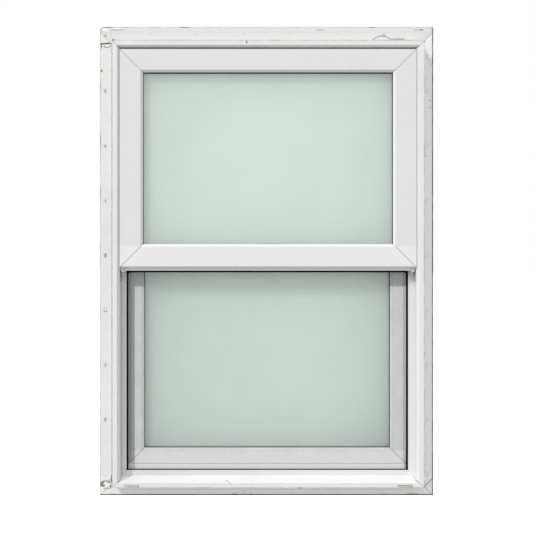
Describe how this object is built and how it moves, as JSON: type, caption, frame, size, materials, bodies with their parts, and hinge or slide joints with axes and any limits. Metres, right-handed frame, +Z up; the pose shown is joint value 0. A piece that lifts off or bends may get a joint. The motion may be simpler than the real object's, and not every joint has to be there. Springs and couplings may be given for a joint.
{
  "type": "sash window",
  "caption": "White vinyl single-hung sash window with a mitred frame, nailing fin, fixed upper sash, sliding lower sash and frosted green-tinted glazing.",
  "frame": {"origin": "centre of the frame, on the plane of the back of the nailing fin", "axes": "+X to the right as seen from outside, +Y into the wall towards the room, +Z up"},
  "size_m": [0.7576, 0.0825, 1.0649],
  "materials": {
    "vinyl": "white extruded vinyl, slightly glossy, dirty on the fins",
    "lower_vinyl": "white extruded vinyl under a grey film of dirt",
    "glass": "pale green float glass, hazy",
    "rubber": "matte black",
    "pile": "grey woven pile",
    "spacer_metal": "dull mill finish",
    "tube_metal": "drawn tube",
    "steel": "zinc plated",
    "nylon": "white moulded nylon",
    "lock_paint": "white baked enamel"
  },
  "bodies": {
    "frame": {"frame_head": "vinyl", "frame_sill": "vinyl", "frame_jamb_left": "vinyl", "frame_jamb_right": "vinyl", "weep_cover_left": "vinyl", "weep_cover_right": "vinyl", "opening_seal": "rubber", "sash_clip_left": "vinyl", "sash_clip_right": "vinyl", "upper_top_rail": "vinyl", "upper_bottom_rail": "vinyl", "upper_stile_left": "vinyl", "upper_stile_right": "vinyl", "upper_outer_pane": "glass", "upper_inner_pane": "glass", "upper_spacer": "spacer_metal", "upper_glazing_seal": "rubber", "upper_bead_top": "vinyl", "upper_bead_bottom": "vinyl", "upper_bead_left": "vinyl", "upper_bead_right": "vinyl", "upper_setting_blocks": "rubber", "lock_keeper": "lock_paint", "keeper_screws": "steel", "balance_tube_left": "tube_metal", "balance_tube_right": "tube_metal", "balance_bushing_left": "nylon", "balance_bushing_right": "nylon", "balance_screw_left": "steel", "balance_screw_right": "steel"},
    "lower_sash": {"lower_top_rail": "lower_vinyl", "lower_bottom_rail": "lower_vinyl", "lower_stile_left": "lower_vinyl", "lower_stile_right": "lower_vinyl", "lower_outer_pane": "glass", "lower_inner_pane": "glass", "lower_spacer": "spacer_metal", "lower_glazing_seal": "rubber", "lower_bead_top": "lower_vinyl", "lower_bead_bottom": "lower_vinyl", "lower_bead_left": "lower_vinyl", "lower_bead_right": "lower_vinyl", "lower_setting_blocks": "rubber", "lower_pile_left": "pile", "lower_pile_right": "pile", "meeting_rail_pile": "pile", "sill_bulb_seal": "rubber", "balance_rod_left": "steel", "balance_rod_right": "steel", "balance_foot_left": "nylon", "balance_foot_right": "nylon", "lock_housing": "lock_paint", "lock_pin": "steel", "lock_screws": "steel"},
    "lock": {"lock_cam": "lock_paint", "lock_handle": "lock_paint"}
  },
  "joints": [
    {"name": "lower_sash_slide", "type": "slide", "parent": "frame", "child": "lower_sash", "axis": [0, 0, 1], "range_m": [0, 0.37]},
    {"name": "lock_turn", "type": "hinge", "parent": "lower_sash", "child": "lock", "pos_m": [0, 0.015, 0.042], "axis": [0, 0, 1], "range_deg": [-90, 0]}
  ]
}
